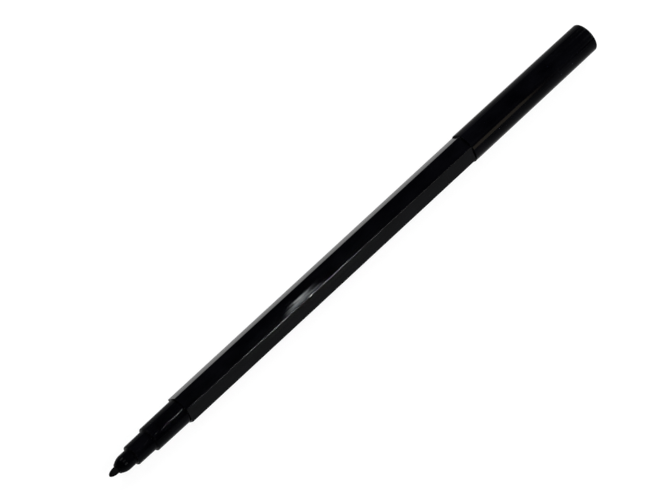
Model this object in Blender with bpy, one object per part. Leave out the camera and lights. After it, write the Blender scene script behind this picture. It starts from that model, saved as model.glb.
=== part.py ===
"""Felt tip marker: a hexagonal fibre-tip pen lying along X with its cap posted on the rear end.

Units are metres and +Z is up. The nib points to -X. The origin is under the middle of the pen,
on the surface that it lies on.
"""

import math

import bmesh
import bpy

MM = 0.001

# Barrel: a hexagonal tube with a round bore
BARREL_FLATS = 7.5 * MM
BARREL_LENGTH = 103.5 * MM
BARREL_WALL = 0.7 * MM
BARREL_CORNER_RADIUS = 0.4 * MM
BARREL_EDGE_BREAK = 0.15 * MM

# Front section: cap seat, shoulder and nozzle, each stepped in from the one behind it
SEAT_STEP = 0.2 * MM
SEAT_LENGTH = 10.9 * MM
SHOULDER_STEP = 0.65 * MM
SHOULDER_LENGTH = 6.1 * MM
NOZZLE_STEP = 0.72 * MM
NOZZLE_LENGTH = 4.9 * MM
NOZZLE_STRAIGHT = 2.3 * MM
NOZZLE_LIP = 0.4 * MM
NOZZLE_LIP_FILLET = 0.25 * MM
STEP_FILLET = 0.4 * MM
STEP_DRAFT = 0.06 * MM

# Sleeves that press into the barrel, in front and behind
SLEEVE_LENGTH = 6.5 * MM
SLEEVE_WALL = 0.6 * MM
SLEEVE_LEAD_IN = 0.25 * MM

# Nib: a fibre rod with a bullet point
NIB_DIAMETER = 1.95 * MM
NIB_EXPOSED = 2.7 * MM
NIB_POINT_LENGTH = 2.3 * MM
NIB_TIP_RADIUS = 0.22 * MM
NIB_IN_RESERVOIR = 5.0 * MM

# Reservoir: a fibre core in a film wrap, with a breather tube in a groove
RESERVOIR_AIR_GAP = 0.3 * MM
FILM_WALL = 0.2 * MM
BREATHER_DIAMETER = 0.8 * MM
BREATHER_WALL = 0.2 * MM
BREATHER_INSET = 0.25 * MM
BREATHER_OVERHANG = 1.0 * MM

# End plug: the spigot that the posted cap sits on
SPIGOT_LENGTH = 10.0 * MM
SPIGOT_END_WALL = 1.0 * MM
SPIGOT_FILLET = 0.5 * MM

# Cap: a round shell, with a sealing cup pressed in from its mouth
CAP_LENGTH = 47.0 * MM
CAP_WALL = 0.65 * MM
CAP_END_WALL = 1.0 * MM
CAP_DRAFT = 0.09 * MM
CAP_END_FILLET = 1.1 * MM
CAP_DOME = 0.25 * MM
CAP_MOUTH_FILLET = 0.12 * MM
CAP_STOP_STEP = 0.55 * MM
INNER_CAP_END_WALL = 0.8 * MM
INNER_CAP_NIB_ROOM = 3.5 * MM

# Clearances between pieces
PRESS_FIT = 0.1 * MM
CAP_FIT = 0.1 * MM
SEAT_GAP = 0.1 * MM
NIB_FIT = 0.1 * MM
END_GAP = 0.3 * MM

# Mesh fineness
SEGMENTS = 48
TUBE_SEGMENTS = 16
ARC_STEPS = 5
DOME_STEPS = 4
POINT_STEPS = 8
SHARP_ANGLE = math.radians(30)
MERGE_DISTANCE = 1e-7

# Radii that follow from the sizes above
bore_radius = BARREL_FLATS / 2 - BARREL_WALL
seat_radius = BARREL_FLATS / 2 - SEAT_STEP
shoulder_radius = seat_radius - SHOULDER_STEP
nozzle_radius = shoulder_radius - NOZZLE_STEP
nib_radius = NIB_DIAMETER / 2
nib_bore_radius = nib_radius + NIB_FIT
nozzle_mouth_radius = nib_bore_radius + NOZZLE_LIP
sleeve_radius = bore_radius - PRESS_FIT
sleeve_bore_radius = sleeve_radius - SLEEVE_WALL
film_radius = bore_radius - RESERVOIR_AIR_GAP
core_radius = film_radius - FILM_WALL - PRESS_FIT
breather_radius = BREATHER_DIAMETER / 2
breather_offset = core_radius - BREATHER_INSET - breather_radius
cap_bore_radius = seat_radius + CAP_FIT
cap_radius = cap_bore_radius + CAP_WALL
inner_cap_radius = cap_bore_radius - PRESS_FIT
inner_cap_bore_radius = shoulder_radius + CAP_FIT

# Lengths and places along the pen that follow from the sizes above
seat_front = SEAT_GAP + SEAT_LENGTH
shoulder_front = seat_front + SHOULDER_LENGTH
nozzle_front = shoulder_front + NOZZLE_LENGTH
nib_tip = nozzle_front + NIB_EXPOSED
reservoir_front = SLEEVE_LENGTH + END_GAP
reservoir_length = BARREL_LENGTH - 2 * reservoir_front
inner_cap_mouth = max(seat_front, SPIGOT_LENGTH + END_GAP)
inner_cap_end = nib_tip + INNER_CAP_NIB_ROOM + INNER_CAP_END_WALL
cap_stop = inner_cap_end + PRESS_FIT
posted_length = nib_tip + BARREL_LENGTH + SEAT_GAP + CAP_LENGTH
barrel_front_x = nib_tip - posted_length / 2
barrel_rear_x = barrel_front_x + BARREL_LENGTH
axis_height = cap_radius


def clear_scene():
    """Removes whatever the file held before."""
    for old in list(bpy.data.objects):
        bpy.data.objects.remove(old, do_unlink=True)


def plastic_or_fibre(name, colour, roughness):
    """A plain material of one colour: nothing on the pen is metal."""
    material = bpy.data.materials.new(name)
    material.use_nodes = True
    shader = material.node_tree.nodes["Principled BSDF"]
    shader.inputs["Base Color"].default_value = (*colour, 1.0)
    shader.inputs["Roughness"].default_value = roughness
    shader.inputs["Metallic"].default_value = 0.0
    return material


def empty_on_axis(name, location, parent=None):
    """A carrier on the pen's axis."""
    carrier = bpy.data.objects.new(name, None)
    carrier.location = location
    carrier.parent = parent
    bpy.context.scene.collection.objects.link(carrier)
    return carrier


def add_object(name, shape, parent, x, material=None):
    """Turns finished bmesh geometry into a named object at x along its carrier."""
    mesh = bpy.data.meshes.new(name)
    shape.to_mesh(mesh)
    shape.free()
    mesh.shade_smooth()
    mesh.set_sharp_from_angle(angle=SHARP_ANGLE)
    if material:
        mesh.materials.append(material)
    made = bpy.data.objects.new(name, mesh)
    made.parent = parent
    made.location = (x, 0.0, 0.0)
    bpy.context.scene.collection.objects.link(made)
    return made


def filleted(corners):
    """Points of a closed outline given as (a, b, fillet) corners, with each fillet as an arc."""
    points = []
    for index, (here_a, here_b, fillet) in enumerate(corners):
        if not fillet:
            points.append((here_a, here_b))
            continue
        back_a, back_b, _ = corners[index - 1]
        next_a, next_b, _ = corners[(index + 1) % len(corners)]
        back_length = math.hypot(back_a - here_a, back_b - here_b)
        next_length = math.hypot(next_a - here_a, next_b - here_b)
        back_unit = ((back_a - here_a) / back_length, (back_b - here_b) / back_length)
        next_unit = ((next_a - here_a) / next_length, (next_b - here_b) / next_length)
        half_angle = math.acos(back_unit[0] * next_unit[0] + back_unit[1] * next_unit[1]) / 2
        reach = min(fillet / math.tan(half_angle), back_length / 2, next_length / 2)
        radius = reach * math.tan(half_angle)
        middle = (back_unit[0] + next_unit[0], back_unit[1] + next_unit[1])
        to_centre = radius / math.sin(half_angle) / math.hypot(*middle)
        centre = (here_a + middle[0] * to_centre, here_b + middle[1] * to_centre)
        start = math.atan2(
            here_b + back_unit[1] * reach - centre[1],
            here_a + back_unit[0] * reach - centre[0],
        )
        end = math.atan2(
            here_b + next_unit[1] * reach - centre[1],
            here_a + next_unit[0] * reach - centre[0],
        )
        sweep = (end - start + math.pi) % (2 * math.pi) - math.pi
        for step in range(ARC_STEPS + 1):
            angle = start + sweep * step / ARC_STEPS
            points.append((centre[0] + radius * math.cos(angle), centre[1] + radius * math.sin(angle)))
    return points


def turned(outline, segments=SEGMENTS):
    """A solid turned about the X axis from a closed outline of (x, radius) points."""
    shape = bmesh.new()
    profile = [shape.verts.new((x, 0.0, radius)) for x, radius in outline]
    edges = []
    for here, ahead in zip(profile, profile[1:] + profile[:1]):
        if here.co.z > 0 or ahead.co.z > 0:
            edges.append(shape.edges.new((here, ahead)))
    bmesh.ops.spin(
        shape,
        geom=profile + edges,
        axis=(1.0, 0.0, 0.0),
        cent=(0.0, 0.0, 0.0),
        angle=2 * math.pi,
        steps=segments,
        use_merge=True,
    )
    bmesh.ops.remove_doubles(shape, verts=shape.verts, dist=MERGE_DISTANCE)
    bmesh.ops.recalc_face_normals(shape, faces=shape.faces)
    return shape


def prism(outline, start, end):
    """A straight bar along X whose cross-section is the closed outline of (y, z) points."""
    shape = bmesh.new()
    section = shape.faces.new([shape.verts.new((start, y, z)) for y, z in outline])
    extruded = bmesh.ops.extrude_face_region(shape, geom=[section])["geom"]
    far_end = [item for item in extruded if isinstance(item, bmesh.types.BMVert)]
    bmesh.ops.translate(shape, verts=far_end, vec=(end - start, 0.0, 0.0))
    bmesh.ops.recalc_face_normals(shape, faces=shape.faces)
    return shape


def cut(target, cutter):
    """Cuts a hidden helper solid out of a piece."""
    cutter.hide_render = True
    cutter.display_type = "WIRE"
    difference = target.modifiers.new(cutter.name, "BOOLEAN")
    difference.operation = "DIFFERENCE"
    difference.solver = "EXACT"
    difference.object = cutter


def make_barrel(pen_axis):
    """Hexagonal tube, one flat down, with rounded corners and a round bore."""
    plastic = plastic_or_fibre("black_barrel_plastic", (0.004, 0.004, 0.005), 0.22)
    corner_distance = BARREL_FLATS / 2 / math.cos(math.radians(30))
    corners = []
    for corner in range(6):
        angle = math.radians(60 * corner)
        y = corner_distance * math.cos(angle)
        z = corner_distance * math.sin(angle)
        corners.append((y, z, BARREL_CORNER_RADIUS))
    shape = prism(filleted(corners), 0.0, BARREL_LENGTH)
    rims = [edge for edge in shape.edges if edge.verts[0].co.x == edge.verts[1].co.x]
    bmesh.ops.bevel(shape, geom=rims, offset=BARREL_EDGE_BREAK, segments=1, affect="EDGES")
    barrel = add_object("barrel", shape, pen_axis, barrel_front_x, plastic)
    overrun = BARREL_WALL
    bore = turned([
        (-overrun, 0.0),
        (-overrun, bore_radius),
        (BARREL_LENGTH + overrun, bore_radius),
        (BARREL_LENGTH + overrun, 0.0),
    ])
    cut(barrel, add_object("barrel_bore_cutter", bore, pen_axis, barrel_front_x))


def make_front_section(pen_axis):
    """Cap seat, shoulder and nozzle in one moulding, with the sleeve that presses into the barrel."""
    plastic = plastic_or_fibre("black_section_plastic", (0.004, 0.004, 0.005), 0.22)
    outline = filleted([
        (SLEEVE_LENGTH, sleeve_bore_radius, 0.0),
        (SLEEVE_LENGTH, sleeve_radius, SLEEVE_LEAD_IN),
        (-SEAT_GAP, sleeve_radius, 0.0),
        (-SEAT_GAP, seat_radius, 0.0),
        (-seat_front, seat_radius - STEP_DRAFT, STEP_FILLET),
        (-seat_front, shoulder_radius, 0.0),
        (-shoulder_front, shoulder_radius - STEP_DRAFT, STEP_FILLET),
        (-shoulder_front, nozzle_radius, 0.0),
    ])
    # The ogive leaves the straight nozzle without a corner and narrows to the lip
    ogive_start = shoulder_front + NOZZLE_STRAIGHT
    ogive_end = nozzle_front - NOZZLE_LIP_FILLET
    for step in range(POINT_STEPS):
        share = step / POINT_STEPS
        x = ogive_start + (ogive_end - ogive_start) * share
        outline.append((-x, nozzle_radius - (nozzle_radius - nozzle_mouth_radius) * share ** 2))
    for step in range(ARC_STEPS + 1):
        turn = math.pi / 2 * step / ARC_STEPS
        x = ogive_end + NOZZLE_LIP_FILLET * math.sin(turn)
        outline.append((-x, nozzle_mouth_radius - NOZZLE_LIP_FILLET * (1 - math.cos(turn))))
    outline.append((-nozzle_front, nib_bore_radius))
    outline.append((-seat_front, nib_bore_radius))
    outline.append((-seat_front + SHOULDER_STEP, sleeve_bore_radius))
    add_object("front_section", turned(outline), pen_axis, barrel_front_x, plastic)


def make_nib(pen_axis):
    """Fibre rod from the bullet point back into the reservoir."""
    fibre = plastic_or_fibre("ink_soaked_fibre", (0.006, 0.006, 0.007), 0.85)
    inner_end = reservoir_front + NIB_IN_RESERVOIR
    outline = [(inner_end, 0.0), (inner_end, nib_radius)]
    # A parabola from the rod to the point, blunted by the rounded tip
    for step in range(POINT_STEPS):
        share = step / POINT_STEPS
        x = nib_tip - NIB_POINT_LENGTH * (1 - share)
        outline.append((-x, nib_radius - (nib_radius - NIB_TIP_RADIUS) * share ** 2))
    for step in range(ARC_STEPS):
        turn = math.pi / 2 * step / ARC_STEPS
        x = nib_tip - NIB_TIP_RADIUS * (1 - math.sin(turn))
        outline.append((-x, NIB_TIP_RADIUS * math.cos(turn)))
    outline.append((-nib_tip, 0.0))
    add_object("nib", turned(outline), pen_axis, barrel_front_x, fibre)


def make_reservoir(pen_axis):
    """Fibre core with a socket for the nib and a groove for the breather tube, and its film wrap."""
    fibre = plastic_or_fibre("reservoir_fibre", (0.02, 0.02, 0.025), 0.9)
    film = plastic_or_fibre("reservoir_film", (0.75, 0.76, 0.76), 0.3)
    x = barrel_front_x + reservoir_front
    socket_depth = NIB_IN_RESERVOIR + END_GAP
    core = turned([
        (0.0, nib_bore_radius),
        (0.0, core_radius),
        (reservoir_length, core_radius),
        (reservoir_length, 0.0),
        (socket_depth, 0.0),
        (socket_depth, nib_bore_radius),
    ])
    core = add_object("ink_reservoir", core, pen_axis, x, fibre)
    groove_radius = breather_radius + PRESS_FIT
    groove = [(-groove_radius, core_radius + groove_radius)]
    for step in range(TUBE_SEGMENTS // 2 + 1):
        angle = math.pi + math.pi * step / (TUBE_SEGMENTS // 2)
        groove.append((groove_radius * math.cos(angle), breather_offset + groove_radius * math.sin(angle)))
    groove.append((groove_radius, core_radius + groove_radius))
    groove = prism(groove, -BREATHER_OVERHANG, reservoir_length + BREATHER_OVERHANG)
    cut(core, add_object("breather_groove_cutter", groove, pen_axis, x))
    wrap = turned([
        (0.0, film_radius - FILM_WALL),
        (0.0, film_radius),
        (reservoir_length, film_radius),
        (reservoir_length, film_radius - FILM_WALL),
    ])
    add_object("reservoir_film", wrap, pen_axis, x, film)


def make_breather_tube(pen_axis):
    """Thin tube along the core, open in front of it and behind it."""
    plastic = plastic_or_fibre("breather_plastic", (0.75, 0.76, 0.76), 0.35)
    length = reservoir_length + 2 * BREATHER_OVERHANG
    tube = turned([
        (0.0, breather_radius - BREATHER_WALL),
        (0.0, breather_radius),
        (length, breather_radius),
        (length, breather_radius - BREATHER_WALL),
    ], TUBE_SEGMENTS)
    x = barrel_front_x + reservoir_front - BREATHER_OVERHANG
    placed = add_object("breather_tube", tube, pen_axis, x, plastic)
    placed.location.z = breather_offset


def make_end_plug(pen_axis):
    """Hollow plug pressed into the barrel's rear, with the spigot for the posted cap."""
    plastic = plastic_or_fibre("black_plug_plastic", (0.004, 0.004, 0.005), 0.25)
    spigot_end = SEAT_GAP + SPIGOT_LENGTH
    hollow_end = spigot_end - SPIGOT_END_WALL
    plug = turned(filleted([
        (hollow_end, 0.0, 0.0),
        (hollow_end, sleeve_bore_radius, 0.0),
        (-SLEEVE_LENGTH, sleeve_bore_radius, 0.0),
        (-SLEEVE_LENGTH, sleeve_radius, SLEEVE_LEAD_IN),
        (SEAT_GAP, sleeve_radius, 0.0),
        (SEAT_GAP, seat_radius, 0.0),
        (spigot_end, seat_radius - STEP_DRAFT, SPIGOT_FILLET),
        (spigot_end, 0.0, 0.0),
    ]))
    add_object("end_plug", plug, pen_axis, barrel_rear_x, plastic)


def make_cap(cap_axis):
    """Round shell, open towards the barrel, with a step inside that stops the sealing cup."""
    plastic = plastic_or_fibre("black_cap_plastic", (0.004, 0.004, 0.005), 0.2)
    end_radius = cap_radius - CAP_DRAFT
    dome_base = CAP_LENGTH - CAP_DOME
    outline = filleted([
        (CAP_LENGTH - CAP_END_WALL, 0.0, 0.0),
        (CAP_LENGTH - CAP_END_WALL, cap_bore_radius - CAP_STOP_STEP, 0.0),
        (cap_stop, cap_bore_radius - CAP_STOP_STEP, 0.0),
        (cap_stop, cap_bore_radius, 0.0),
        (0.0, cap_bore_radius, CAP_MOUTH_FILLET),
        (0.0, cap_radius, CAP_MOUTH_FILLET),
        (dome_base, end_radius, CAP_END_FILLET),
    ] + [
        (dome_base + CAP_DOME * (1 - (step / DOME_STEPS) ** 2), end_radius * step / DOME_STEPS, 0.0)
        for step in reversed(range(DOME_STEPS))
    ])
    add_object("cap", turned(outline), cap_axis, 0.0, plastic)


def make_inner_cap(cap_axis):
    """Cup pressed into the cap, which seals round the shoulder when the pen is capped."""
    plastic = plastic_or_fibre("natural_seal_plastic", (0.7, 0.7, 0.66), 0.4)
    cup = turned(filleted([
        (inner_cap_end - INNER_CAP_END_WALL, 0.0, 0.0),
        (inner_cap_end - INNER_CAP_END_WALL, inner_cap_bore_radius, 0.0),
        (inner_cap_mouth, inner_cap_bore_radius, CAP_MOUTH_FILLET),
        (inner_cap_mouth, inner_cap_radius, CAP_MOUTH_FILLET),
        (inner_cap_end, inner_cap_radius, CAP_MOUTH_FILLET),
        (inner_cap_end, 0.0, 0.0),
    ]))
    add_object("inner_cap", cup, cap_axis, 0.0, plastic)


def main():
    """Builds the pen lying along X, with its cap posted."""
    clear_scene()
    pen_axis = empty_on_axis("pen_axis", (0.0, 0.0, axis_height))
    cap_axis = empty_on_axis("cap_axis", (barrel_rear_x + SEAT_GAP, 0.0, 0.0), pen_axis)
    make_barrel(pen_axis)
    make_front_section(pen_axis)
    make_nib(pen_axis)
    make_reservoir(pen_axis)
    make_breather_tube(pen_axis)
    make_end_plug(pen_axis)
    make_cap(cap_axis)
    make_inner_cap(cap_axis)


main()
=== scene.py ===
"""Felt tip marker: the looks of a black hexagonal fibre-tip pen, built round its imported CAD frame.

Everything is in metres in the frame's own axes: the pen lies along X with its nib towards -X.
"""

import math

import bmesh
import bpy
from mathutils import Matrix, Vector


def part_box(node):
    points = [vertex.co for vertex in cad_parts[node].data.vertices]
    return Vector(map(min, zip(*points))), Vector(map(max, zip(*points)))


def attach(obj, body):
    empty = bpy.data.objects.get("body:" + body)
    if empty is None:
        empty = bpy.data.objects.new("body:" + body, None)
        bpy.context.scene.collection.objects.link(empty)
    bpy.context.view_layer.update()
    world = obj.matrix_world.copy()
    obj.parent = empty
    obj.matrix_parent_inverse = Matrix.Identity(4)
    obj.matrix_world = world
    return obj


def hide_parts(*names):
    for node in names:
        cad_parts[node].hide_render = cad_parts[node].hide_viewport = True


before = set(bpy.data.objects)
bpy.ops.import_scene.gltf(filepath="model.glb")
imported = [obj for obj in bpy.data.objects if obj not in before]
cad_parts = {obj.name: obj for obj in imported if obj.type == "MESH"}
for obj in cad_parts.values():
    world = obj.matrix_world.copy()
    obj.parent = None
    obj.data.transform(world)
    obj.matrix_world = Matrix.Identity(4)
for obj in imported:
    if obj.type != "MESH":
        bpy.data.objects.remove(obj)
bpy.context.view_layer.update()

bl_info = {
    "name": "Felt Tip Marker",
    "version": (1, 0, 0),
    "blender": (4, 5, 0),
    "location": "3D View > Sidebar > Marker",
    "description": "Builds a hexagonal fibre-tip marker with its cap posted, and a plain studio round it",
    "category": "Object",
}

MM = 0.001

barrel_low, barrel_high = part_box("barrel")
section_low, section_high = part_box("front_section")
nib_low, nib_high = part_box("nib")
plug_low, plug_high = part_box("end_plug")
cap_low, cap_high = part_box("cap")
seal_low, seal_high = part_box("inner_cap")
axis_height = (cap_low[2] + cap_high[2]) / 2

# Mesh fineness
AROUND = 128
ARC_STEPS = 8
FACE_CUTS = 9
TAPER_STEPS = 24
DOME_STEPS = 6
FLOOR_AROUND = 96
MERGE_DISTANCE = 1e-7
SHARP_ANGLE = math.radians(40)
BARREL_SHARP_ANGLE = math.radians(9)

# Share of a wall's length that the rounding at one of its ends may take up
ROUNDING_LIMIT = 0.45
# Distance of the points beside a rounding from its corner, as a share of the rounding's own reach
ROUNDING_HOLD = 1.1
# Share of the cap's radius inside which its end is domed. The end's rounding takes up the rest.
DOME_REACH = 0.45
# Depths under the hexagon's sharp corner at which the scuffing of the long edges sets in, and is full
SCUFF_START = 0.25 * MM
SCUFF_FULL = 0.1 * MM
# Spread of a moulded gloss to either side of its mean roughness
GLOSS_SPREAD = 0.01

# Radius and height of the floor's rings: a flat disc with a rim that sweeps up
FLOOR_RINGS = ((0.3, 0.0), (1.0, 0.0), (2.0, 0.0), (2.6, 0.06), (3.0, 0.25), (3.2, 0.6), (3.25, 1.0))
# Gap that keeps the floor clear of the pen
FLOOR_GAP = 0.02 * MM
# Distance of a mirrored lamp from the spot on the pen that mirrors it
LAMP_DISTANCE = 1.2
# Place along X at which the bulb shows in the upper flat
BULB_SPOT = -18 * MM
# Distance behind the nozzle's mouth at which the nose lamp is aimed
NOSE_SPOT = 15 * MM


def length(name, description, default):
    """A length in metres that a user can change."""
    return bpy.props.FloatProperty(
        name=name,
        description=description,
        default=default,
        min=0.0,
        precision=5,
        subtype="DISTANCE",
        unit="LENGTH",
    )


def share(name, description, default):
    """A number from nought to one that a user can change."""
    return bpy.props.FloatProperty(
        name=name, description=description, default=default, min=0.0, max=1.0, subtype="FACTOR"
    )


def watts(name, description, default):
    """A lamp's power that a user can change."""
    return bpy.props.FloatProperty(
        name=name, description=description, default=default, min=0.0, unit="POWER"
    )


class MarkerSizes(bpy.types.PropertyGroup):
    """Sizes of the pen's pieces."""

    barrel_flats: length(
        "Across flats", "Width of the barrel over two flats", barrel_high[2] - barrel_low[2]
    )
    barrel_wall: length("Barrel wall", "Thickness of the barrel at the middle of a flat", 0.7 * MM)
    barrel_corner: length("Corner radius", "Rounding of the barrel's six long edges", 0.17 * MM)
    barrel_crown: length("Face crown", "How far the crown of the faces draws the long edges in", 0.05 * MM)
    barrel_break: length("Edge break", "Rounding of the barrel's two ends", 0.06 * MM)
    seat_radius: length("Cap seat", "Radius that the cap pushes on to", section_high[1])
    seat_length: length("Cap seat length", "Length of the cap seat", 10.9 * MM)
    shoulder_radius: length("Shoulder", "Radius of the step in front of the cap seat", 2.9 * MM)
    shoulder_length: length("Shoulder length", "Length of the shoulder", 6.1 * MM)
    nozzle_radius: length("Nozzle", "Radius of the nozzle behind its taper", 2.18 * MM)
    nozzle_straight: length("Nozzle straight", "Length of the nozzle before its taper", 2.3 * MM)
    nozzle_mouth: length("Nozzle mouth", "Radius of the nozzle at the nib", 1.475 * MM)
    nozzle_lip: length("Nozzle lip", "Rounding of the nozzle's mouth", 0.25 * MM)
    step_fillet: length("Step rounding", "Rounding of the front edge of each step", 0.4 * MM)
    step_root: length("Step root", "Rounding where a step meets the next, and of its rear edge", 0.1 * MM)
    step_draft: length("Step draft", "How much a step narrows over its length", 0.06 * MM)
    sleeve_wall: length("Sleeve wall", "Thickness of the sleeves inside the barrel", 0.6 * MM)
    sleeve_fillet: length("Sleeve rounding", "Rounding of the sleeves' leading edges", 0.2 * MM)
    fit: length("Fit", "Clearance between two pieces that push together", 0.1 * MM)
    nib_point: length("Nib point", "Length of the nib's taper", 2.3 * MM)
    fibre_depth: length("Fibre relief", "Depth of the furrows between the nib's fibre bundles", 0.03 * MM)
    cap_wall: length("Cap wall", "Thickness of the cap's shell", 0.65 * MM)
    end_wall: length("End wall", "Thickness of the closed ends of the cap and the rear plug", 1.0 * MM)
    cap_draft: length("Cap draft", "How much the cap narrows towards its closed end", 0.09 * MM)
    cap_end_fillet: length("Cap end rounding", "Rounding of the cap's closed end", 0.55 * MM)
    cap_dome: length("Cap dome", "Rise of the cap's closed end", 0.25 * MM)
    gate_radius: length("Gate mark", "Radius of the shallow pit that the moulding gate leaves", 0.8 * MM)
    gate_depth: length("Gate depth", "Depth of the gate's pit", 0.1 * MM)
    seal_wall: length("Seal end wall", "Thickness of the sealing cup's end", 0.8 * MM)
    seal_stop: length("Seal stop", "How far the stop inside the cap reaches over the seal", 0.48 * MM)
    rim_fillet: length("Rim rounding", "Rounding of the mouths of the cap and its seal", 0.12 * MM)


class MarkerFinish(bpy.types.PropertyGroup):
    """Finish of the pen's pieces."""

    barrel_gloss: share("Barrel roughness", "Mean roughness of the barrel's flats", 0.02)
    edge_scuff: share("Edge scuff", "Roughness that handling adds to the barrel's long edges", 0.097)
    nose_gloss: share("Nose roughness", "Mean roughness of the nose and the rear plug", 0.05)
    cap_gloss: share("Cap roughness", "Mean roughness of the cap", 0.055)
    barrel_shine: share("Barrel shine", "Strength of the barrel's reflection seen straight on", 0.05)
    nose_shine: share("Nose shine", "Strength of the nose's reflection seen straight on", 0.02)
    cap_shine: share("Cap shine", "Strength of the cap's reflection seen straight on", 0.022)
    barrel_streaks: share("Barrel streaks", "Strength of the flow streaks on the barrel", 1.0)
    turned_streaks: share("Round streaks", "Strength of the flow streaks on the round pieces", 0.1)
    fibre_roughness: share("Fibre roughness", "Roughness of the ink-soaked fibre", 0.9)


class StudioSettings(bpy.types.PropertyGroup):
    """Light on the stage."""

    key_power: watts("Soft lamps", "Power of each large soft lamp", 36.0)
    fill_power: watts("Fill panels", "Power of each dim panel that the flats mirror", 8.5)
    glint_power: watts("Glint lamp", "Power of the lamp that draws the long edges", 34.0)
    bulb_power: watts("Bulb", "Power of the bulb mirrored in the upper flat", 0.12)
    nose_power: watts("Nose lamp", "Power of the lamp that draws the nose", 0.6)
    window_power: watts("Warm panel", "Power of the low panel mirrored in the cap", 3.6)
    floor_glow: share("Floor glow", "How much of the floor's white is its own to the camera", 0.85)


def linear(hex_colour):
    """An sRGB hex colour as linear RGBA."""
    channels = [int(hex_colour[start : start + 2], 16) / 255 for start in (1, 3, 5)]
    return [c / 12.92 if c <= 0.04045 else ((c + 0.055) / 1.055) ** 2.4 for c in channels] + [1.0]


def add(tree, kind, inputs=None, **settings):
    """Adds a node with its settings. A socket given as an input is linked, and any other value is set."""
    node = tree.nodes.new(kind)
    for name, value in settings.items():
        setattr(node, name, value)
    for key, value in (inputs or {}).items():
        if isinstance(value, bpy.types.NodeSocket):
            tree.links.new(value, node.inputs[key])
        else:
            node.inputs[key].default_value = value
    return node


def new_material(name):
    """A node material without nodes, and its node tree."""
    material = bpy.data.materials.new(name)
    material.use_nodes = True
    material.node_tree.nodes.clear()
    return material, material.node_tree


def lengthwise(along, across):
    """The texture scale of a pattern along the pen, from the length and the width of its marks."""
    return (1 / along, 1 / across, 1 / across)


def moulded_polypropylene(name, roughness, shine, streaks, scuff=None):
    """Black polypropylene, injection moulded in a polished tool.

    It is a deep even black with a clear gloss. The melt's flow leaves faint streaks along the pen, and
    handling leaves finer scuffs, so the gloss breaks up across the pen and stays even along it. Long edges
    wear duller: scuff gives the distances from the pen's axis between which that sets in, and how much.
    """
    material, tree = new_material(name)
    coords = add(tree, "ShaderNodeTexCoord")
    # Flow streaks. Real ones are nearer 0.1 mm wide, which is too fine to show.
    streak_place = add(tree, "ShaderNodeMapping", {
        "Vector": coords.outputs["Object"], "Scale": lengthwise(125 * MM, 0.5 * MM),
    })
    streak = add(tree, "ShaderNodeTexNoise", {
        "Vector": streak_place.outputs[0], "Scale": 1.0, "Detail": 2.0, "Roughness": 0.5,
    })
    # Cloudy patches of handling
    cloud_place = add(tree, "ShaderNodeMapping", {
        "Vector": coords.outputs["Object"], "Scale": lengthwise(9.09 * MM, 4 * MM),
    })
    cloud = add(tree, "ShaderNodeTexNoise", {
        "Vector": cloud_place.outputs[0], "Scale": 1.0, "Detail": 4.0, "Roughness": 0.55,
    })
    # Grain of the tool's polish, drawn at 0.25 mm because the real 0.02 mm can't show
    grain = add(tree, "ShaderNodeTexNoise", {
        "Vector": coords.outputs["Object"], "Scale": 1 / (0.25 * MM), "Detail": 2.0,
    })
    worn = add(tree, "ShaderNodeMath", {0: streak.outputs[0], 1: cloud.outputs[0]}, operation="MULTIPLY")
    gloss = add(tree, "ShaderNodeMapRange", {
        "Value": worn.outputs[0], "From Min": 0.1, "From Max": 0.45,
        "To Min": roughness - GLOSS_SPREAD, "To Max": roughness + GLOSS_SPREAD,
    })
    relief = streaks
    if scuff:
        start, full, dulling = scuff
        # Leaves out the way along the pen, so that what is left is the distance from its axis
        across = add(tree, "ShaderNodeMapping", {
            "Vector": coords.outputs["Object"],
            "Location": (0.0, 0.0, -axis_height),
            "Scale": (0.0, 1.0, 1.0),
        })
        reach = add(tree, "ShaderNodeVectorMath", {0: across.outputs[0]}, operation="LENGTH")
        edge = add(tree, "ShaderNodeMapRange", {
            "Value": reach.outputs["Value"], "From Min": start, "From Max": full, "To Max": dulling,
        })
        gloss = add(tree, "ShaderNodeMath", {0: gloss.outputs[0], 1: edge.outputs[0]}, operation="ADD")
        # The streaks are rubbed off the edges
        relief = add(tree, "ShaderNodeMapRange", {
            "Value": reach.outputs["Value"], "From Min": start, "From Max": full,
            "To Min": streaks, "To Max": 0.0,
        }).outputs[0]
    tone = add(tree, "ShaderNodeMapRange", {"Value": cloud.outputs[0], "From Min": 0.35, "From Max": 0.7})
    colour = add(tree, "ShaderNodeMix", {
        0: tone.outputs[0], 6: linear("#010102"), 7: linear("#040406"),
    }, data_type="RGBA")
    streak_bump = add(tree, "ShaderNodeBump", {
        "Height": streak.outputs[0], "Strength": relief, "Distance": 0.02 * MM,
    })
    bump = add(tree, "ShaderNodeBump", {
        "Height": grain.outputs[0], "Strength": 0.03, "Distance": 0.003 * MM,
        "Normal": streak_bump.outputs[0],
    })
    shader = add(tree, "ShaderNodeBsdfPrincipled", {
        "Base Color": colour.outputs[2], "Roughness": gloss.outputs[0], "Normal": bump.outputs[0],
        "IOR": 1.49, "Specular IOR Level": shine, "Specular Tint": linear("#f9ffff"),
    })
    add(tree, "ShaderNodeOutputMaterial", {"Surface": shader.outputs[0]})
    return material


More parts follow.
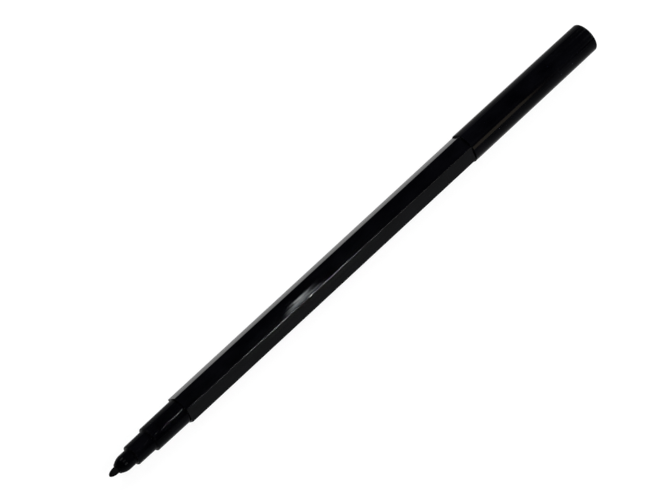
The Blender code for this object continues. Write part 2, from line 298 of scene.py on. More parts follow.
def bonded_fibre(name, roughness, dark, light, across):
    """Acrylic or polyester fibre, drawn out lengthwise, bonded with resin and soaked with black ink.

    It is a dull black with fine lengthwise threads, a little lighter where the ink lies thinner.
    """
    material, tree = new_material(name)
    coords = add(tree, "ShaderNodeTexCoord")
    # Threads run along the pen: as wide as asked, and about 6 mm long before they dip under others
    thread_place = add(tree, "ShaderNodeMapping", {
        "Vector": coords.outputs["Object"], "Scale": lengthwise(6 * MM, across),
    })
    thread = add(tree, "ShaderNodeTexNoise", {
        "Vector": thread_place.outputs[0], "Scale": 1.0, "Detail": 5.0, "Roughness": 0.65,
    })
    # Ink soaks in unevenly, in patches of about 2 mm
    soak = add(tree, "ShaderNodeTexNoise", {
        "Vector": coords.outputs["Object"], "Scale": 1 / (2 * MM), "Detail": 3.0,
    })
    tone = add(tree, "ShaderNodeMath", {0: thread.outputs[0], 1: soak.outputs[0]}, operation="MULTIPLY")
    spread = add(tree, "ShaderNodeMapRange", {"Value": tone.outputs[0], "From Min": 0.12, "From Max": 0.42})
    colour = add(tree, "ShaderNodeMix", {
        0: spread.outputs[0], 6: linear(dark), 7: linear(light),
    }, data_type="RGBA")
    dull = add(tree, "ShaderNodeMapRange", {
        "Value": thread.outputs[0], "To Min": roughness - 0.15, "To Max": roughness + 0.08,
    })
    bump = add(tree, "ShaderNodeBump", {
        "Height": thread.outputs[0], "Strength": 0.6, "Distance": 0.03 * MM,
    })
    shader = add(tree, "ShaderNodeBsdfPrincipled", {
        "Base Color": colour.outputs[2], "Roughness": dull.outputs[0], "Normal": bump.outputs[0],
        "IOR": 1.49, "Specular IOR Level": 0.02,
    })
    add(tree, "ShaderNodeOutputMaterial", {"Surface": shader.outputs[0]})
    return material


def natural_polyethylene(name):
    """Uncoloured polyethylene, moulded or extruded: milky, waxy and a little see-through in thin walls."""
    material, tree = new_material(name)
    coords = add(tree, "ShaderNodeTexCoord")
    # Cloudy crystals
    cloud = add(tree, "ShaderNodeTexNoise", {
        "Vector": coords.outputs["Object"], "Scale": 1 / (1.54 * MM), "Detail": 4.0,
    })
    # Waxy orange peel
    peel = add(tree, "ShaderNodeTexNoise", {
        "Vector": coords.outputs["Object"], "Scale": 1 / (0.4 * MM), "Detail": 2.0,
    })
    colour = add(tree, "ShaderNodeMix", {
        0: cloud.outputs[0], 6: linear("#d6d5cc"), 7: linear("#e6e5df"),
    }, data_type="RGBA")
    gloss = add(tree, "ShaderNodeMapRange", {"Value": cloud.outputs[0], "To Min": 0.32, "To Max": 0.5})
    bump = add(tree, "ShaderNodeBump", {"Height": peel.outputs[0], "Strength": 0.2, "Distance": 0.01 * MM})
    shader = add(tree, "ShaderNodeBsdfPrincipled", {
        "Base Color": colour.outputs[2], "Roughness": gloss.outputs[0], "Normal": bump.outputs[0],
        "IOR": 1.51, "Subsurface Weight": 0.3, "Subsurface Radius": (1.0, 0.95, 0.85),
        "Subsurface Scale": 0.6 * MM,
    })
    add(tree, "ShaderNodeOutputMaterial", {"Surface": shader.outputs[0]})
    return material


def clear_film(name):
    """Clear polypropylene film, wound and heat sealed: glassy, with faint lengthwise die lines."""
    material, tree = new_material(name)
    coords = add(tree, "ShaderNodeTexCoord")
    # Die lines along the film
    line_place = add(tree, "ShaderNodeMapping", {
        "Vector": coords.outputs["Object"], "Scale": lengthwise(33.3 * MM, 0.303 * MM),
    })
    line = add(tree, "ShaderNodeTexNoise", {"Vector": line_place.outputs[0], "Scale": 1.0, "Detail": 2.0})
    colour = add(tree, "ShaderNodeMix", {
        0: line.outputs[0], 6: linear("#e9ecec"), 7: linear("#f4f6f6"),
    }, data_type="RGBA")
    gloss = add(tree, "ShaderNodeMapRange", {"Value": line.outputs[0], "To Min": 0.08, "To Max": 0.25})
    bump = add(tree, "ShaderNodeBump", {"Height": line.outputs[0], "Strength": 0.3, "Distance": 0.006 * MM})
    shader = add(tree, "ShaderNodeBsdfPrincipled", {
        "Base Color": colour.outputs[2], "Roughness": gloss.outputs[0], "Normal": bump.outputs[0],
        "IOR": 1.49, "Transmission Weight": 0.8,
    })
    add(tree, "ShaderNodeOutputMaterial", {"Surface": shader.outputs[0]})
    return material


def rounded(corners):
    """Points of an outline given as (x, radius, fillet) corners.

    Each fillet is an arc with a close point on either side, which keeps the shading of the long walls even.
    """
    points = []
    for index, (x, radius, fillet) in enumerate(corners):
        here = Vector((x, radius))
        if not fillet:
            points.append(here)
            continue
        back = Vector(corners[index - 1][:2]) - here
        ahead = Vector(corners[(index + 1) % len(corners)][:2]) - here
        half_angle = back.angle(ahead) / 2
        most = ROUNDING_LIMIT * min(back.length, ahead.length)
        reach = min(fillet / math.tan(half_angle), most)
        arc_radius = reach * math.tan(half_angle)
        back.normalize()
        ahead.normalize()
        centre = here + (back + ahead).normalized() * (arc_radius / math.sin(half_angle))
        start = here + back * reach - centre
        sweep = -start.angle_signed(here + ahead * reach - centre)
        points.append(here + back * reach * ROUNDING_HOLD)
        for step in range(ARC_STEPS + 1):
            turn = Matrix.Rotation(sweep * step / ARC_STEPS, 2)
            points.append(centre + turn @ start)
        points.append(here + ahead * reach * ROUNDING_HOLD)
    return points


def turned(name, outline):
    """A closed piece turned about the pen's axis from a closed outline of (x, radius) points."""
    shape = bmesh.new()
    rings = []
    for x, radius in outline:
        if radius < MERGE_DISTANCE:
            rings.append([shape.verts.new((x, 0.0, axis_height))] * AROUND)
            continue
        ring = []
        for step in range(AROUND):
            angle = 2 * math.pi * (step + 0.5) / AROUND
            spot = (x, radius * math.sin(angle), axis_height + radius * math.cos(angle))
            ring.append(shape.verts.new(spot))
        rings.append(ring)
    for here, ahead in zip(rings, rings[1:] + rings[:1]):
        for step in range(AROUND):
            corners = (here[step], here[step - 1], ahead[step - 1], ahead[step])
            distinct = list(dict.fromkeys(corners))
            if len(distinct) > 2:
                shape.faces.new(distinct)
    bmesh.ops.recalc_face_normals(shape, faces=shape.faces)
    mesh = bpy.data.meshes.new(name)
    shape.to_mesh(mesh)
    shape.free()
    mesh.shade_smooth()
    mesh.set_sharp_from_angle(angle=SHARP_ANGLE)
    made = bpy.data.objects.new(name, mesh)
    bpy.context.scene.collection.objects.link(made)
    return made


def grow(carrier, tree, sizes):
    """Runs a node tree on an object with the sizes given, and leaves the result as the object's mesh."""
    modifier = carrier.modifiers.new(tree.name, "NODES")
    modifier.node_group = tree
    for item in tree.interface.items_tree:
        if item.item_type == "SOCKET" and item.in_out == "INPUT" and item.name in sizes:
            modifier[item.identifier] = sizes[item.name]
    evaluated = carrier.evaluated_get(bpy.context.evaluated_depsgraph_get())
    mesh = bpy.data.meshes.new_from_object(evaluated)
    carrier.modifiers.clear()
    mesh.name = carrier.name
    carrier.data = mesh
    return carrier


def tree_with_inputs(name, sizes):
    """A geometry node tree with a named length for each size, and the outputs of its input node."""
    tree = bpy.data.node_groups.new(name, "GeometryNodeTree")
    tree.interface.new_socket("Geometry", in_out="INPUT", socket_type="NodeSocketGeometry")
    for size in sizes:
        tree.interface.new_socket(size, in_out="INPUT", socket_type="NodeSocketFloat").subtype = "DISTANCE"
    tree.interface.new_socket("Geometry", in_out="OUTPUT", socket_type="NodeSocketGeometry")
    return tree, tree.nodes.new("NodeGroupInput").outputs


def place(piece, body, node, material):
    """Hands a finished piece to the frame: it rides on its body and stands for its CAD node."""
    piece.data.materials.clear()
    piece.data.materials.append(material)
    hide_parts(node)
    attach(piece, body)


def hexagonal_tube(sizes, material):
    """Node tree for the barrel: a tube along X, round inside and a soft, slightly crowned hexagon outside.

    An outline round the pen and a section through its wall are drawn as curves. Each point of a grid then
    takes its place round the pen from the one and its place along the pen from the other.
    """
    tree, size = tree_with_inputs("Hexagonal tube", sizes)
    corner = add(tree, "ShaderNodeMath", {0: size["Across flats"], 1: math.sqrt(3)}, operation="DIVIDE")
    apothem = add(tree, "ShaderNodeMath", {0: size["Across flats"], 1: 0.5}, operation="MULTIPLY")
    bore = add(tree, "ShaderNodeMath", {0: apothem.outputs[0], 1: size["Wall"]}, operation="SUBTRACT")
    spot = add(tree, "GeometryNodeInputPosition")
    index = add(tree, "GeometryNodeInputIndex")

    hexagon = add(tree, "GeometryNodeCurvePrimitiveCircle", {"Resolution": 6, "Radius": corner.outputs[0]})
    soft = add(tree, "GeometryNodeFilletCurve", {
        "Curve": hexagon.outputs[0], "Radius": size["Corner radius"],
        "Count": ARC_STEPS, "Limit Radius": True,
    }, mode="POLY")
    # Only the straight stretch that follows a rounded corner is cut up
    on_corner = add(tree, "FunctionNodeIntegerMath", {
        0: index.outputs[0], 1: ARC_STEPS + 1,
    }, operation="MODULO")
    leaves = add(tree, "ShaderNodeMath", {
        0: on_corner.outputs[0], 1: ARC_STEPS, 2: 0.5,
    }, operation="COMPARE")
    cuts = add(tree, "ShaderNodeMath", {0: leaves.outputs[0], 1: FACE_CUTS}, operation="MULTIPLY")
    fine = add(tree, "GeometryNodeSubdivideCurve", {"Curve": soft.outputs[0], "Cuts": cuts.outputs[0]})
    # The crown draws each long edge in, and leaves the middle of the flats where it is
    reach = add(tree, "ShaderNodeVectorMath", {0: spot.outputs[0]}, operation="LENGTH")
    drawn = add(tree, "ShaderNodeMath", {0: size["Face crown"], 1: corner.outputs[0]}, operation="DIVIDE")
    edge = add(tree, "ShaderNodeMath", {0: 1.0, 1: drawn.outputs[0]}, operation="SUBTRACT")
    pull = add(tree, "ShaderNodeMapRange", {
        "Value": reach.outputs["Value"], "From Min": apothem.outputs[0], "From Max": corner.outputs[0],
        "To Min": 1.0, "To Max": edge.outputs[0],
    })
    crowned = add(tree, "ShaderNodeVectorMath", {
        0: spot.outputs[0], "Scale": pull.outputs[0],
    }, operation="SCALE")
    outline = add(tree, "GeometryNodeSetPosition", {
        "Geometry": fine.outputs[0], "Position": crowned.outputs[0],
    })

    rear = add(tree, "ShaderNodeMath", {0: size["Start"], 1: size["Length"]}, operation="ADD")
    wall_corners = (
        (size["Start"], bore),
        (rear.outputs[0], bore),
        (rear.outputs[0], apothem),
        (size["Start"], apothem),
    )
    points = {}
    for number, (x, radius) in enumerate(wall_corners, start=1):
        point = add(tree, "ShaderNodeCombineXYZ", {"X": x, "Y": radius.outputs[0]})
        points[f"Point {number}"] = point.outputs[0]
    wall = add(tree, "GeometryNodeCurvePrimitiveQuadrilateral", points, mode="POINTS")
    section = add(tree, "GeometryNodeFilletCurve", {
        "Curve": wall.outputs[0], "Radius": size["Edge break"],
        "Count": ARC_STEPS // 2, "Limit Radius": True,
    }, mode="POLY")

    # The grid overlaps by one row and one column, which are welded
    totals = []
    counts = []
    for curve in (outline, section):
        domain = add(tree, "GeometryNodeAttributeDomainSize", {0: curve.outputs[0]}, component="CURVE")
        total = domain.outputs["Point Count"]
        count = add(tree, "FunctionNodeIntegerMath", {0: total, 1: 1}, operation="ADD")
        totals.append(total)
        counts.append(count.outputs[0])
    grid = add(tree, "GeometryNodeMeshGrid", {"Vertices X": counts[1], "Vertices Y": counts[0]})
    places = []
    for curve, total, operation in zip((outline, section), totals, ("MODULO", "DIVIDE_FLOOR")):
        step = add(tree, "FunctionNodeIntegerMath", {
            0: index.outputs[0], 1: counts[0],
        }, operation=operation)
        point = add(tree, "FunctionNodeIntegerMath", {0: step.outputs[0], 1: total}, operation="MODULO")
        places.append(add(tree, "GeometryNodeSampleIndex", {
            "Geometry": curve.outputs[0], "Value": spot.outputs[0], "Index": point.outputs[0],
        }, data_type="FLOAT_VECTOR", domain="POINT"))
    around, along = places
    lengthways = add(tree, "ShaderNodeSeparateXYZ", {0: along.outputs[0]})
    # The outer half of the wall stands out as far as the hexagon does, and the inner half is the round bore
    middle = add(tree, "ShaderNodeMath", {
        0: size["Wall"], 1: -0.5, 2: apothem.outputs[0],
    }, operation="MULTIPLY_ADD")
    outside = add(tree, "ShaderNodeMath", {
        0: lengthways.outputs["Y"], 1: middle.outputs[0],
    }, operation="GREATER_THAN")
    hexagon_reach = add(tree, "ShaderNodeVectorMath", {0: around.outputs[0]}, operation="LENGTH")
    bulge = add(tree, "ShaderNodeMath", {
        0: hexagon_reach.outputs["Value"], 1: apothem.outputs[0],
    }, operation="SUBTRACT")
    radius = add(tree, "ShaderNodeMath", {
        0: bulge.outputs[0], 1: outside.outputs[0], 2: lengthways.outputs["Y"],
    }, operation="MULTIPLY_ADD")
    direction = add(tree, "ShaderNodeVectorMath", {0: around.outputs[0]}, operation="NORMALIZE")
    spoke = add(tree, "ShaderNodeVectorMath", {
        0: direction.outputs[0], "Scale": radius.outputs[0],
    }, operation="SCALE")
    crosswise = add(tree, "ShaderNodeSeparateXYZ", {0: spoke.outputs[0]})
    height = add(tree, "ShaderNodeMath", {
        0: crosswise.outputs["Y"], 1: size["Axis height"],
    }, operation="ADD")
    position = add(tree, "ShaderNodeCombineXYZ", {
        "X": lengthways.outputs["X"], "Y": crosswise.outputs["X"], "Z": height.outputs[0],
    })
    tube = add(tree, "GeometryNodeSetPosition", {
        "Geometry": grid.outputs[0], "Position": position.outputs[0],
    })
    welded = add(tree, "GeometryNodeMergeByDistance", {
        "Geometry": tube.outputs[0], "Distance": MERGE_DISTANCE,
    })
    real = add(tree, "GeometryNodeRealizeInstances", {"Geometry": welded.outputs[0]})
    coated = add(tree, "GeometryNodeSetMaterial", {"Geometry": real.outputs[0], "Material": material})
    add(tree, "NodeGroupOutput", {"Geometry": coated.outputs[0]})
    return tree


def fibre_furrows(sizes, material):
    """Node tree for the nib: sinks furrows between bundles of fibre that run along a turned rod."""
    tree, size = tree_with_inputs("Fibre furrows", sizes)
    spot = add(tree, "GeometryNodeInputPosition")
    # Bundles are drawn 0.3 mm wide and about 4 mm long, so that they show
    stretched = add(tree, "ShaderNodeVectorMath", {
        0: spot.outputs[0], 1: lengthwise(4 * MM, 0.3 * MM),
    }, operation="MULTIPLY")
    bundles = add(tree, "ShaderNodeTexNoise", {"Vector": stretched.outputs[0], "Scale": 1.0, "Detail": 2.0})
    # The noise runs from nought to one, so one less than it is a depth below the turned rod
    sunk = add(tree, "ShaderNodeMath", {0: bundles.outputs[0], 1: -1.0}, operation="ADD")
    depth = add(tree, "ShaderNodeMath", {0: sunk.outputs[0], 1: size["Relief"]}, operation="MULTIPLY")
    outwards = add(tree, "GeometryNodeInputNormal")
    offset = add(tree, "ShaderNodeVectorMath", {
        0: outwards.outputs[0], "Scale": depth.outputs[0],
    }, operation="SCALE")
    furrowed = add(tree, "GeometryNodeSetPosition", {
        "Geometry": size["Geometry"], "Offset": offset.outputs[0],
    })
    real = add(tree, "GeometryNodeRealizeInstances", {"Geometry": furrowed.outputs[0]})
    coated = add(tree, "GeometryNodeSetMaterial", {"Geometry": real.outputs[0], "Material": material})
    add(tree, "NodeGroupOutput", {"Geometry": coated.outputs[0]})
    return tree


class MARKER_OT_barrel(bpy.types.Operator):
    """Draws out the hexagonal barrel"""

    bl_idname = "marker.barrel"
    bl_label = "Barrel"

    def execute(self, context):
        sizes = context.scene.marker_sizes
        finish = context.scene.marker_finish
        corner = sizes.barrel_flats / math.sqrt(3)
        plastic = moulded_polypropylene(
            "black_polypropylene_barrel",
            finish.barrel_gloss,
            finish.barrel_shine,
            finish.barrel_streaks,
            scuff=(corner - SCUFF_START, corner - SCUFF_FULL, finish.edge_scuff),
        )
        values = {
            "Across flats": sizes.barrel_flats,
            "Face crown": sizes.barrel_crown,
            "Corner radius": sizes.barrel_corner,
            "Edge break": sizes.barrel_break,
            "Wall": sizes.barrel_wall,
            "Length": barrel_high[0] - barrel_low[0],
            "Start": barrel_low[0],
            "Axis height": axis_height,
        }
        barrel = bpy.data.objects.new("barrel_shell", bpy.data.meshes.new("barrel_shell"))
        context.scene.collection.objects.link(barrel)
        grow(barrel, hexagonal_tube(values, plastic), values)
        # The long edges are shaded smooth, and the ends sharp, or they would bend the shading of the flats
        barrel.data.shade_smooth()
        barrel.data.set_sharp_from_angle(angle=BARREL_SHARP_ANGLE)
        place(barrel, "pen", "barrel", plastic)
        return {"FINISHED"}


class MARKER_OT_front_section(bpy.types.Operator):
    """Turns the stepped nose: cap seat, shoulder, nozzle and the sleeve inside the barrel"""

    bl_idname = "marker.front_section"
    bl_label = "Front section"

    def execute(self, context):
        sizes = context.scene.marker_sizes
        finish = context.scene.marker_finish
        seat_rear = barrel_low[0] - sizes.fit
        seat_front = seat_rear - sizes.seat_length
        shoulder_front = seat_front - sizes.shoulder_length
        nozzle_front = section_low[0]
        sleeve = sizes.barrel_flats / 2 - sizes.barrel_wall - sizes.fit
        sleeve_bore = sleeve - sizes.sleeve_wall
        nib_bore = nib_high[1] + sizes.fit
        taper_start = shoulder_front - sizes.nozzle_straight
        taper_end = nozzle_front + sizes.nozzle_lip
        outline = rounded([
            (section_high[0], sleeve_bore, 0.0),
            (section_high[0], sleeve, sizes.sleeve_fillet),
            (seat_rear, sleeve, 0.0),
            (seat_rear, sizes.seat_radius, sizes.step_root),
            (seat_front, sizes.seat_radius - sizes.step_draft, sizes.step_fillet),
            (seat_front, sizes.shoulder_radius, sizes.step_root),
            (shoulder_front, sizes.shoulder_radius - sizes.step_draft, sizes.step_fillet),
            (shoulder_front, sizes.nozzle_radius, sizes.step_root),
            (taper_start, sizes.nozzle_radius, 0.0),
        ])
        narrowing = sizes.nozzle_radius - sizes.nozzle_mouth
        for step in range(1, TAPER_STEPS):
            done = step / TAPER_STEPS
            x = taper_start + (taper_end - taper_start) * done
            outline.append((x, sizes.nozzle_radius - narrowing * done ** 2))
        for step in range(ARC_STEPS + 1):
            turn = math.pi / 2 * step / ARC_STEPS
            x = taper_end - sizes.nozzle_lip * math.sin(turn)
            outline.append((x, sizes.nozzle_mouth - sizes.nozzle_lip * (1 - math.cos(turn))))
        outline.append((nozzle_front, nib_bore))
        outline.append((seat_front, nib_bore))
        outline.append((seat_front + sizes.sleeve_wall, sleeve_bore))
        plastic = moulded_polypropylene(
            "black_polypropylene_nose", finish.nose_gloss, finish.nose_shine, finish.turned_streaks
        )
        place(turned("nose_section", outline), "pen", "front_section", plastic)
        return {"FINISHED"}


class MARKER_OT_nib(bpy.types.Operator):
    """Turns the bullet nib and sinks the furrows between its fibre bundles"""

    bl_idname = "marker.nib"
    bl_label = "Nib"

    def execute(self, context):
        sizes = context.scene.marker_sizes
        finish = context.scene.marker_finish
        radius = nib_high[1]
        tip = nib_low[0]
        rear = nib_high[0]
        rod_end = tip + sizes.nib_point
        outline = [(rear, 0.0), (rear, radius)]
        for step in range(TAPER_STEPS):
            outline.append((rear + (rod_end - rear) * (step + 1) / (TAPER_STEPS + 1), radius))
        for step in range(TAPER_STEPS):
            turn = math.pi / 2 * step / TAPER_STEPS
            outline.append((rod_end - sizes.nib_point * math.sin(turn), radius * math.cos(turn)))
        outline.append((tip, 0.0))
        fibre = bonded_fibre(
            "ink_soaked_acrylic_fibre", finish.fibre_roughness, "#010101", "#060607", across=0.25 * MM
        )
        values = {"Relief": sizes.fibre_depth}
        nib = grow(turned("fibre_nib", outline), fibre_furrows(values, fibre), values)
        place(nib, "pen", "nib", fibre)
        return {"FINISHED"}


class MARKER_OT_ink_feed(bpy.types.Operator):
    """Finishes the pieces inside the barrel: ink core, film wrap and breather tube"""

    bl_idname = "marker.ink_feed"
    bl_label = "Ink feed"

    def execute(self, context):
        finish = context.scene.marker_finish
        finishes = {
            "ink_reservoir": bonded_fibre(
                "ink_soaked_polyester_wadding",
                finish.fibre_roughness,
                "#0b0b0e",
                "#22222a",
                across=0.3 * MM,
            ),
            "reservoir_film": clear_film("clear_polypropylene_film"),
            "breather_tube": natural_polyethylene("natural_polyethylene_tube"),
        }
        for node, material in finishes.items():
            for material_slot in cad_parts[node].material_slots:
                material_slot.material = material
        return {"FINISHED"}


class MARKER_OT_end_plug(bpy.types.Operator):
    """Turns the rear plug with the spigot that the posted cap sits on"""

    bl_idname = "marker.end_plug"
    bl_label = "End plug"

    def execute(self, context):
        sizes = context.scene.marker_sizes
        finish = context.scene.marker_finish
        spigot_start = barrel_high[0] + sizes.fit
        spigot_end = plug_high[0]
        sleeve = sizes.barrel_flats / 2 - sizes.barrel_wall - sizes.fit
        sleeve_bore = sleeve - sizes.sleeve_wall
        hollow_end = spigot_end - sizes.end_wall
        pit_floor = spigot_end - sizes.gate_depth
        outline = rounded([
            (hollow_end, 0.0, 0.0),
            (hollow_end, sleeve_bore, sizes.step_root),
            (plug_low[0], sleeve_bore, sizes.step_root),
            (plug_low[0], sleeve, sizes.sleeve_fillet),
            (spigot_start, sleeve, 0.0),
            (spigot_start, sizes.seat_radius, sizes.step_root),
            (spigot_end, sizes.seat_radius - sizes.step_draft, sizes.step_fillet),
            (spigot_end, sizes.gate_radius, sizes.gate_depth),
            (pit_floor, sizes.gate_radius - sizes.gate_depth, sizes.gate_depth),
            (pit_floor, 0.0, 0.0),
        ])
        plastic = moulded_polypropylene(
            "black_polypropylene_plug", finish.nose_gloss, finish.nose_shine, finish.turned_streaks
        )
        place(turned("rear_plug", outline), "pen", "end_plug", plastic)
        return {"FINISHED"}


class MARKER_OT_cap(bpy.types.Operator):
    """Turns the cap's round shell with its domed end and the step inside that stops the seal"""

    bl_idname = "marker.cap"
    bl_label = "Cap"

    def execute(self, context):
        sizes = context.scene.marker_sizes
        finish = context.scene.marker_finish
        mouth = cap_low[0]
        end = cap_high[0]
        radius = cap_high[1]
        bore = radius - sizes.cap_wall
        end_radius = radius - sizes.cap_draft
        inside_end = end - sizes.end_wall
        stop = seal_high[0] + sizes.fit
        stop_radius = seal_high[1] - sizes.seal_stop
        # The dome's outer part is left to the rounding, and its middle to the gate's pit
        pit_edge = sizes.gate_radius / end_radius
        dome = []
        for step in range(DOME_STEPS):
            across = DOME_REACH + (pit_edge - DOME_REACH) * step / (DOME_STEPS - 1)
            dome.append((end - sizes.cap_dome * across ** 2, end_radius * across, 0.0))
        pit_floor = dome[-1][0] - sizes.gate_depth
        pit_radius = sizes.gate_radius - sizes.gate_depth
        dome += [(pit_floor, pit_radius, sizes.gate_depth), (pit_floor, 0.0, 0.0)]
        outline = rounded([
            (inside_end, 0.0, 0.0),
            (inside_end, stop_radius, sizes.rim_fillet),
            (stop, stop_radius, sizes.rim_fillet),
            (stop, bore, 0.0),
            (mouth, bore, sizes.rim_fillet),
            (mouth, radius, sizes.rim_fillet),
            (end - sizes.cap_dome, end_radius, sizes.cap_end_fillet),
        ] + dome)
        plastic = moulded_polypropylene(
            "black_polypropylene_cap", finish.cap_gloss, finish.cap_shine, finish.turned_streaks
        )
        place(turned("cap_shell", outline), "cap", "cap", plastic)
        return {"FINISHED"}


class MARKER_OT_seal(bpy.types.Operator):
    """Turns the sealing cup that closes round the shoulder when the pen is capped"""

    bl_idname = "marker.seal"
    bl_label = "Cap seal"

    def execute(self, context):
        sizes = context.scene.marker_sizes
        bore = sizes.shoulder_radius + sizes.fit
        inside_end = seal_high[0] - sizes.seal_wall
        outline = rounded([
            (inside_end, 0.0, 0.0),
            (inside_end, bore, sizes.rim_fillet),
            (seal_low[0], bore, sizes.rim_fillet),
            (seal_low[0], seal_high[1], sizes.rim_fillet),
            (seal_high[0], seal_high[1], sizes.rim_fillet),
            (seal_high[0], 0.0, 0.0),
        ])
        plastic = natural_polyethylene("natural_polyethylene_seal")
        place(turned("sealing_cup", outline), "cap", "inner_cap", plastic)
        return {"FINISHED"}


def lamp(name, power, size, position, target, colour="#ffffff", lights_floor=True):
    """A soft lamp of (width, height) that points at a target, with its width along the pen."""
    light = bpy.data.lights.new(name, "AREA")
    light.shape = "RECTANGLE"
    light.size, light.size_y = size
    light.energy = power
    light.color = linear(colour)[:3]
    made = bpy.data.objects.new(name, light)
    made.visible_diffuse = lights_floor
    away = (Vector(position) - Vector(target)).normalized()
    width = (Vector((1.0, 0.0, 0.0)) - away * away.x).normalized()
    turn = Matrix((width, away.cross(width), away)).transposed().to_4x4()
    made.matrix_world = Matrix.Translation(position) @ turn
    bpy.context.scene.collection.objects.link(made)


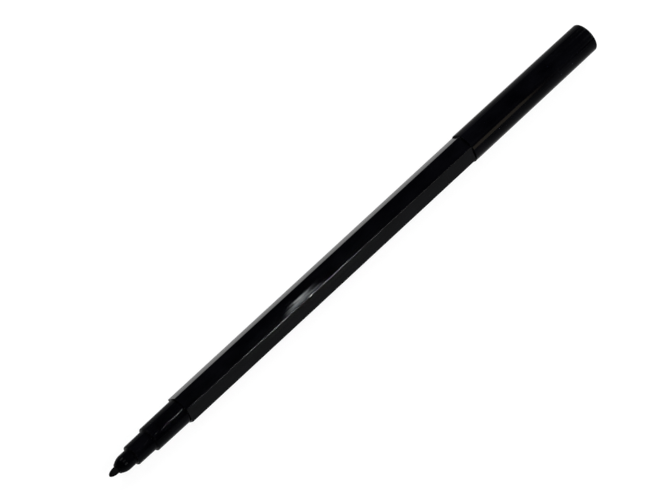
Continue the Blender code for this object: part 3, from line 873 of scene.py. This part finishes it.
class MARKER_OT_studio(bpy.types.Operator):
    """Sets the pale floor, the soft lamps and the camera"""

    bl_idname = "marker.studio"
    bl_label = "Studio"

    def execute(self, context):
        settings = context.scene.marker_studio
        self.lay_floor(context, settings.floor_glow)
        self.hang_lamps(context, settings)
        self.set_camera(context)
        context.scene.view_settings.view_transform = "Standard"
        return {"FINISHED"}

    def lay_floor(self, context, glow):
        """A white sweep. It leans with the pen, which lies on the barrel's front end and the cap's rim."""
        shape = bmesh.new()
        rings = []
        for reach, height in FLOOR_RINGS:
            ring = []
            for step in range(FLOOR_AROUND):
                angle = 2 * math.pi * step / FLOOR_AROUND
                ring.append(shape.verts.new((reach * math.cos(angle), reach * math.sin(angle), height)))
            rings.append(ring)
        shape.faces.new(rings[0])
        for here, ahead in zip(rings, rings[1:]):
            for step in range(FLOOR_AROUND):
                shape.faces.new((here[step - 1], ahead[step - 1], ahead[step], here[step]))
        lean = (barrel_low[2] - cap_low[2]) / (cap_low[0] - barrel_low[0])
        for vert in shape.verts:
            vert.co.z += cap_low[2] + lean * (cap_low[0] - vert.co.x) - FLOOR_GAP
        mesh = bpy.data.meshes.new("floor")
        shape.to_mesh(mesh)
        shape.free()
        mesh.shade_smooth()
        # To the camera and in reflections, part of the paper's white is its own. The rest shows the shadow.
        paper, tree = new_material("matt_white_paper")
        light_path = add(tree, "ShaderNodeLightPath")
        seen = add(tree, "ShaderNodeMath", {
            0: light_path.outputs["Is Camera Ray"], 1: light_path.outputs["Is Glossy Ray"],
        }, operation="ADD")
        seen_through = add(tree, "ShaderNodeMath", {
            0: seen.outputs[0], 1: light_path.outputs["Is Transmission Ray"],
        }, operation="ADD", use_clamp=True)
        part = add(tree, "ShaderNodeMath", {0: seen_through.outputs[0], 1: glow}, operation="MULTIPLY")
        matt = add(tree, "ShaderNodeBsdfDiffuse", {"Color": linear("#f4f4f4")})
        white = add(tree, "ShaderNodeEmission", {"Color": linear("#ffffff"), "Strength": 1.0})
        mixed = add(tree, "ShaderNodeMixShader", {
            0: part.outputs[0], 1: matt.outputs[0], 2: white.outputs[0],
        })
        add(tree, "ShaderNodeOutputMaterial", {"Surface": mixed.outputs[0]})
        mesh.materials.append(paper)
        floor = bpy.data.objects.new("floor", mesh)
        context.scene.collection.objects.link(floor)

    def hang_lamps(self, context, settings):
        """Large soft lamps on the cap's side, lamps that only draw glints, and a dim grey surround."""
        middle = Vector((0.0, 0.0, axis_height))
        for name, power, side, position in (
            ("soft_lamp_left", settings.key_power, 1.0, (1.3, 0.8, 1.0)),
            ("soft_lamp_right", settings.key_power, 1.0, (1.3, -0.8, 1.0)),
            # Seen from the side or from above, the pen mirrors these wide dim panels
            ("fill_panel_left", settings.fill_power, 0.6, (-0.05, 1.1, 1.1)),
            ("fill_panel_right", settings.fill_power, 0.6, (-0.05, -1.1, 1.1)),
            ("fill_panel_top", settings.fill_power / 2, 0.6, (-0.05, 0.0, 1.6)),
        ):
            lamp(name, power, (side, side), position, middle)
        # The barrel mirrors these in its long edges and its upper flat, and the nose in its cap seat
        flat = Vector((BULB_SPOT, 0.0, barrel_high[2]))
        seat = Vector((section_low[0] + NOSE_SPOT, 0.0, axis_height))
        for name, power, size, spot, direction in (
            ("glint_lamp", settings.glint_power, (0.016, 0.016), flat, (0.36, -0.43, 0.83)),
            ("bulb", settings.bulb_power, (0.006, 0.05), flat, (0.361, 0.23, 0.904)),
            ("nose_lamp", settings.nose_power, (0.005, 0.01), seat, (0.3135, -0.3055, 0.8975)),
        ):
            lamp(name, power, size, spot + LAMP_DISTANCE * Vector(direction), spot, lights_floor=False)
        # The cap mirrors this one in its flank
        lamp(
            "warm_panel",
            settings.window_power,
            (0.26, 0.55),
            Vector((0.65, -1.29, 0.79)),
            middle,
            colour="#ffe9cc",
            lights_floor=False,
        )
        world = bpy.data.worlds.new("studio")
        world.use_nodes = True
        world.node_tree.nodes["Background"].inputs["Color"].default_value = linear("#404244")
        context.scene.world = world

    def set_camera(self, context):
        """A long lens above the nib's side, turned a little about its own axis, as for the photo."""
        azimuth = math.radians(-53.440)
        elevation = math.radians(62.071)
        roll = math.radians(7.364)
        distance = 1020.03 * MM
        shift_right = -5.358 * MM
        shift_up = 1.815 * MM
        focal_length_pixels = 4061.05
        photo_width_pixels = 666
        back = Vector((
            math.sin(azimuth) * math.cos(elevation),
            -math.cos(azimuth) * math.cos(elevation),
            math.sin(elevation),
        ))
        level = Vector((0.0, 0.0, 1.0)).cross(back).normalized()
        upright = back.cross(level)
        right = math.cos(roll) * level + math.sin(roll) * upright
        up = -math.sin(roll) * level + math.cos(roll) * upright
        position = distance * back + shift_right * right + shift_up * up
        camera = bpy.data.cameras.new("camera")
        camera.sensor_width = 36.0
        camera.lens = focal_length_pixels / photo_width_pixels * camera.sensor_width
        camera.clip_end = 10.0
        made = bpy.data.objects.new("camera", camera)
        made.matrix_world = Matrix.Translation(position) @ Matrix((right, up, back)).transposed().to_4x4()
        context.scene.collection.objects.link(made)
        context.scene.camera = made


class MARKER_PT_panel(bpy.types.Panel):
    """Lists the marker's pieces, its finish and its stage"""

    bl_idname = "MARKER_PT_panel"
    bl_label = "Felt Tip Marker"
    bl_space_type = "VIEW_3D"
    bl_region_type = "UI"
    bl_category = "Marker"

    def draw(self, context):
        for step in STEPS:
            self.layout.operator(step.bl_idname)
        for group in (context.scene.marker_sizes, context.scene.marker_finish, context.scene.marker_studio):
            box = self.layout.box()
            for name in group.__annotations__:
                box.prop(group, name)


STEPS = (
    MARKER_OT_barrel,
    MARKER_OT_front_section,
    MARKER_OT_nib,
    MARKER_OT_ink_feed,
    MARKER_OT_end_plug,
    MARKER_OT_cap,
    MARKER_OT_seal,
    MARKER_OT_studio,
)
SETTINGS = {
    "marker_sizes": MarkerSizes,
    "marker_finish": MarkerFinish,
    "marker_studio": StudioSettings,
}


def register():
    """Registers the settings, the operators and the panel."""
    for name, group in SETTINGS.items():
        bpy.utils.register_class(group)
        setattr(bpy.types.Scene, name, bpy.props.PointerProperty(type=group))
    for made in (*STEPS, MARKER_PT_panel):
        bpy.utils.register_class(made)


def unregister():
    """Takes back what register added."""
    for made in reversed((*STEPS, MARKER_PT_panel)):
        bpy.utils.unregister_class(made)
    for name, group in SETTINGS.items():
        delattr(bpy.types.Scene, name)
        bpy.utils.unregister_class(group)


def main():
    """Builds the marker and its stage."""
    register()
    bpy.ops.marker.barrel()
    bpy.ops.marker.front_section()
    bpy.ops.marker.nib()
    bpy.ops.marker.ink_feed()
    bpy.ops.marker.end_plug()
    bpy.ops.marker.cap()
    bpy.ops.marker.seal()
    bpy.ops.marker.studio()


if __name__ == "__main__":
    main()
